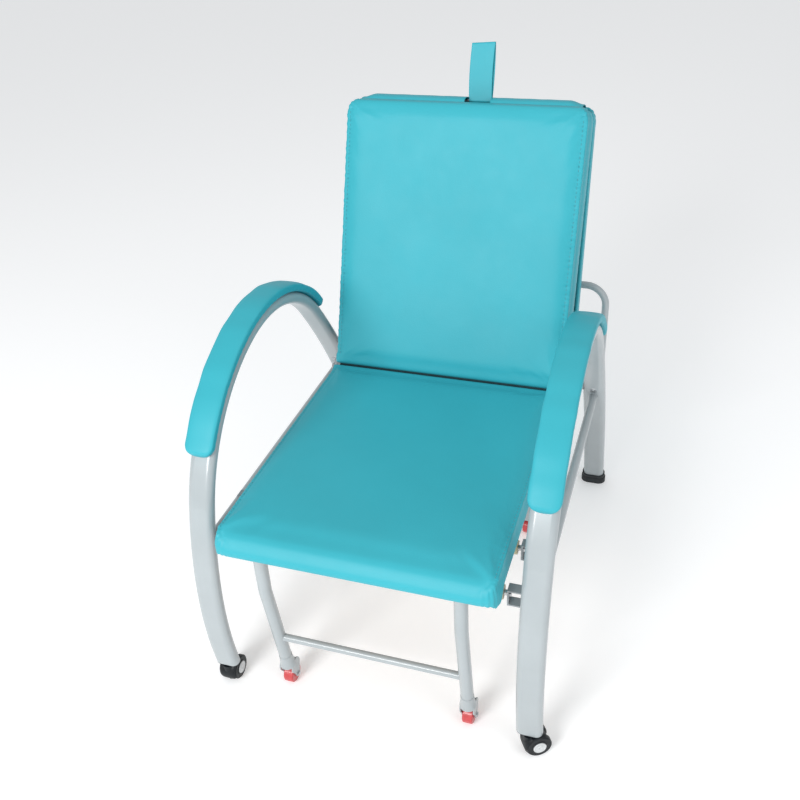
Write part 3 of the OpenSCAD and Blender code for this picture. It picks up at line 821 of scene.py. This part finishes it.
def make_hoods():
    """Moulded shells of the casters, from the swivel boss down over the front of the twin wheels."""
    inner, outer, half = 0.0254, 0.0272, 0.0172
    first, last = 122, 208
    columns, rows = 18, 22
    for side in ("left", "right"):
        stem = PIVOT[f"{side}_caster_swivel"]
        axle, _ = axle_of(f"{side}_caster_inner")
        behind = Vector((axle.x - stem.x, axle.y - stem.y, 0)).normalized()
        across = Vector((behind.y, -behind.x, 0))
        points = []
        for radius in (outer, inner):
            for i in range(rows + 1):
                turn = math.radians(first + (last - first) * i / rows)
                for j in range(columns + 1):
                    share = 2 * j / columns - 1
                    droop = 0.0022 * abs(share) ** 6
                    round_off = 1 - 0.10 * (i / rows) ** 4 * abs(share) ** 2
                    reach = radius - droop * (radius == outer)
                    p = axle + across * share * half * round_off
                    p += behind * reach * math.cos(turn) + Vector((0, 0, reach * math.sin(turn)))
                    points.append(p)
        made = new_object(f"{side}_hood", points, plate_faces(rows, columns), BLACK)
        made.data.set_sharp_from_angle(angle=math.radians(40))
        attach(made, f"{side}_caster")


FLAP_THICK = 0.0012
FLAP_COLUMN = 0.004
HINGE_FLAP_STEPS = 14
TOP_FLAP_STEPS = 24


def flap(name, origin, x0, x1, section, seed, look, gathers, droop=0.0):
    """A strip of vinyl across the chair, bent along section.
    gathers is how far it wanders, and droop how far it hangs lower at its outer end."""
    up = Vector((0, *section[len(section) // 2])).normalized()
    columns, rows = max(8, int((x1 - x0) / FLAP_COLUMN)), len(section) - 1
    droop_reach = max(abs(x0), abs(x1))
    points = []
    for layer in (0, 1):
        for i, (y, z) in enumerate(section):
            y0, z0 = section[max(0, i - 1)]
            y1, z1 = section[min(rows, i + 1)]
            out = Vector((0, z1 - z0, y0 - y1)).normalized()
            for j in range(columns + 1):
                x = x0 + (x1 - x0) * j / columns
                gather = gathers * float(wave(np.array(x * 9), seed)) * math.sin(math.pi * i / rows)
                low = droop * (1 - float(smoothstep((droop_reach - abs(x)) / 0.03)))
                points.append(origin + Vector((x, y, z)) + out * (layer * FLAP_THICK + gather) - up * low)
    made = new_object(name, points, plate_faces(rows, columns), look)
    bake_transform(made)


def make_flaps():
    """Vinyl strips that join the cushions below the seat's rear edge and over the top hinge rod."""
    seat_end = (-0.0165, 0.006)
    c, s = math.cos(RECLINE), math.sin(RECLINE)
    back_end = (0.0235 * c - 0.003 * s, 0.0235 * s + 0.003 * c)
    dip = (-0.002, 0.001)
    section = []
    for i in range(HINGE_FLAP_STEPS + 1):
        t = i / HINGE_FLAP_STEPS
        bend = zip(seat_end, dip, back_end)
        section.append(tuple((1 - t) ** 2 * a + 2 * t * (1 - t) * b + t**2 * e for a, b, e in bend))
    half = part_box("seat_cushion")[1].x - 0.010
    # The hinge flap is the same vinyl, drawn in the dark lining as painted shade in the valley under the seat's
    # rear edge
    flap("hinge_flap", SEAT_HINGE, -half, half, section, 3, SHADE_LINING, 0.0008)
    lean = (RECLINE + HEAD_LEAN) / 2
    c, s = math.cos(lean), math.sin(lean)
    section = []
    for i in range(TOP_FLAP_STEPS + 1):
        turn = math.pi * i / TOP_FLAP_STEPS
        out, up = -0.031 * math.cos(turn), -0.010 + 0.0158 * max(0.0, math.sin(turn)) ** 0.6
        section.append((up * c - out * s, up * s + out * c))
    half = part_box("back_cushion")[1].x - 0.020
    low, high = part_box("pull_strap")
    flap("top_flap_left", APEX, -half, low.x - 0.002, section, 6, VINYL, 0.0002, 0.007)
    flap("top_flap_right", APEX, high.x + 0.002, half, section, 8, VINYL, 0.0002, 0.007)


dress_cad()
make_cushions()
for side in (-1, 1):
    make_arm_pad(side)
make_strap()
make_flaps()
make_caster_caps()
make_hoods()
make_wheel_hubs()
make_collars()


# ---------------------------------------------------------------- stage, light and camera


def make_floor():
    mesh = bpy.data.meshes.new("floor")
    size = 40.0
    corners = [(-size, -size, 0), (size, -size, 0), (size, size, 0), (-size, size, 0)]
    mesh.from_pydata(corners, [], [(0, 1, 2, 3)])
    made = bpy.data.objects.new("floor", mesh)
    scene.collection.objects.link(made)
    colour = (0.93, 0.935, 0.94)
    look, _, _, _ = surface("floor_pale", colour, 0.9, Emission_Color=(1, 1, 1, 1), Emission_Strength=0.2)
    mesh.materials.append(look)


def area_light(name, at, target, size, power, colour=(1, 1, 1)):
    data = bpy.data.lights.new(name, "AREA")
    data.shape = "DISK"
    data.size, data.energy, data.color = size, power, colour
    made = bpy.data.objects.new(name, data)
    made.location = at
    made.rotation_euler = (Vector(target) - Vector(at)).to_track_quat("-Z", "Y").to_euler()
    scene.collection.objects.link(made)


def make_light():
    world = bpy.data.worlds.new("studio")
    world.use_nodes = True
    world.node_tree.nodes["Background"].inputs["Color"].default_value = (0.97, 0.985, 1.0, 1)
    world.node_tree.nodes["Background"].inputs["Strength"].default_value = 0.6
    scene.world = world
    area_light("key", (-0.9, -3.4, 2.2), (0, 0, 0.5), 1.6, 98)
    area_light("fill", (2.6, -1.6, 2.2), (0, 0, 0.5), 2.0, 20)
    area_light("top", (0.2, 0.4, 3.2), (0, 0, 0.4), 2.2, 6)


CAMERA_AT = Vector((0.487, -1.4956, 1.495))
CAMERA_AZIMUTH = math.radians(19.82)
CAMERA_ELEVATION = math.radians(32.84)
CAMERA_ROLL = math.radians(-3.33)
CAMERA_LENS = 41.31


def make_camera():
    a, e = CAMERA_AZIMUTH, CAMERA_ELEVATION
    back = Vector((math.sin(a) * math.cos(e), -math.cos(a) * math.cos(e), math.sin(e)))
    level = Vector((math.cos(a), math.sin(a), 0))
    rise = back.cross(level)
    c, s = math.cos(CAMERA_ROLL), math.sin(CAMERA_ROLL)
    right, up = level * c + rise * s, rise * c - level * s
    data = bpy.data.cameras.new("camera")
    data.lens, data.sensor_width = CAMERA_LENS, 36
    made = bpy.data.objects.new("camera", data)
    turn = Matrix((right, up, back)).transposed().to_4x4()
    made.matrix_world = Matrix.Translation(CAMERA_AT) @ turn
    scene.collection.objects.link(made)
    scene.camera = made


make_floor()
make_light()
make_camera()
scene.view_settings.view_transform = "Standard"
